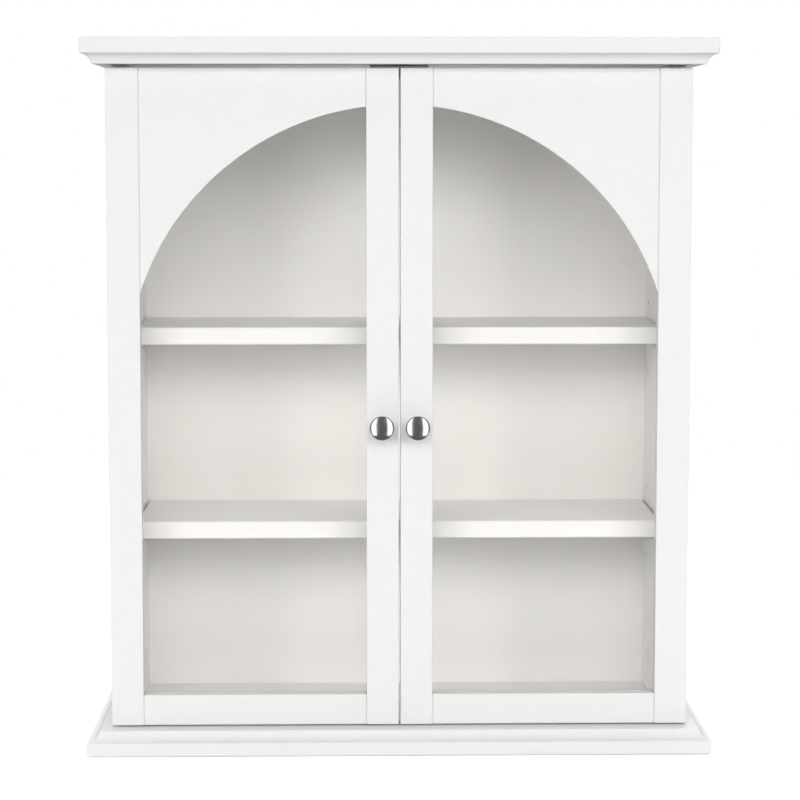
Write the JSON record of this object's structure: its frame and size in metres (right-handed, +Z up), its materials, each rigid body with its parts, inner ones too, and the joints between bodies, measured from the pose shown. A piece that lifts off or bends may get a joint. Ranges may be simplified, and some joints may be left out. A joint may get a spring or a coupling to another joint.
{
  "type": "wall cabinet",
  "caption": "White wall cabinet with moulded top and base, arched glass doors on butt hinges, round metal knobs and shelves on pins.",
  "frame": {"origin": "middle of the underside of the base board", "axes": "+Z up, -Y out of the front, +X to the right as seen from the front; left and right in node names are as seen from the front"},
  "size_m": [0.534, 0.203, 0.61],
  "materials": {
    "paint": "white satin paint on MDF",
    "inner_paint": "white satin paint on MDF, inside faces",
    "backing": "white lacquered hardboard",
    "glass": "clear float glass",
    "satin_nickel": "satin nickel plate",
    "hinge_steel": "nickel-plated steel",
    "zinc_steel": "bright zinc plate",
    "beech": "bare fluted beech",
    "catch_plastic": "white moulded plastic"
  },
  "bodies": {
    "cabinet": {"back_panel": "backing", "base_board": "paint", "hanging_rail": "inner_paint", "left_hanger_plate": "zinc_steel", "left_lower_dowel": "beech", "left_lower_hinge_carcass_leaf": "hinge_steel", "left_lower_hinge_pin": "zinc_steel", "left_side_panel": "paint", "left_upper_dowel": "beech", "left_upper_hinge_carcass_leaf": "hinge_steel", "left_upper_hinge_pin": "zinc_steel", "lower_shelf": "inner_paint", "lower_shelf_pin_left_back": "zinc_steel", "lower_shelf_pin_left_front": "zinc_steel", "lower_shelf_pin_right_back": "zinc_steel", "lower_shelf_pin_right_front": "zinc_steel", "magnetic_catch": "catch_plastic", "right_hanger_plate": "zinc_steel", "right_lower_dowel": "beech", "right_lower_hinge_carcass_leaf": "hinge_steel", "right_lower_hinge_pin": "zinc_steel", "right_side_panel": "paint", "right_upper_dowel": "beech", "right_upper_hinge_carcass_leaf": "hinge_steel", "right_upper_hinge_pin": "zinc_steel", "top_board": "paint", "upper_shelf": "inner_paint", "upper_shelf_pin_left_back": "zinc_steel", "upper_shelf_pin_left_front": "zinc_steel", "upper_shelf_pin_right_back": "zinc_steel", "upper_shelf_pin_right_front": "zinc_steel"},
    "left_door": {"left_arch_rail": "paint", "left_bottom_rail": "paint", "left_glass": "glass", "left_glazing_bead_inner": "paint", "left_glazing_bead_lower": "paint", "left_glazing_bead_outer": "paint", "left_glazing_bead_upper": "paint", "left_hinge_stile": "paint", "left_knob": "satin_nickel", "left_knob_screw": "zinc_steel", "left_lock_stile": "paint", "left_lower_hinge_door_leaf": "hinge_steel", "left_strike_plate": "zinc_steel", "left_upper_hinge_door_leaf": "hinge_steel"},
    "right_door": {"right_arch_rail": "paint", "right_bottom_rail": "paint", "right_glass": "glass", "right_glazing_bead_inner": "paint", "right_glazing_bead_lower": "paint", "right_glazing_bead_outer": "paint", "right_glazing_bead_upper": "paint", "right_hinge_stile": "paint", "right_knob": "satin_nickel", "right_knob_screw": "zinc_steel", "right_lock_stile": "paint", "right_lower_hinge_door_leaf": "hinge_steel", "right_strike_plate": "zinc_steel", "right_upper_hinge_door_leaf": "hinge_steel"}
  },
  "joints": [
    {"name": "left_door_hinge", "type": "hinge", "parent": "cabinet", "child": "left_door", "pos_m": [-0.2455, -0.06025, 0.3035], "axis": [0, 0, -1], "range_deg": [0, 110]},
    {"name": "right_door_hinge", "type": "hinge", "parent": "cabinet", "child": "right_door", "pos_m": [0.2455, -0.06025, 0.3035], "axis": [0, 0, 1], "range_deg": [0, 110]}
  ]
}
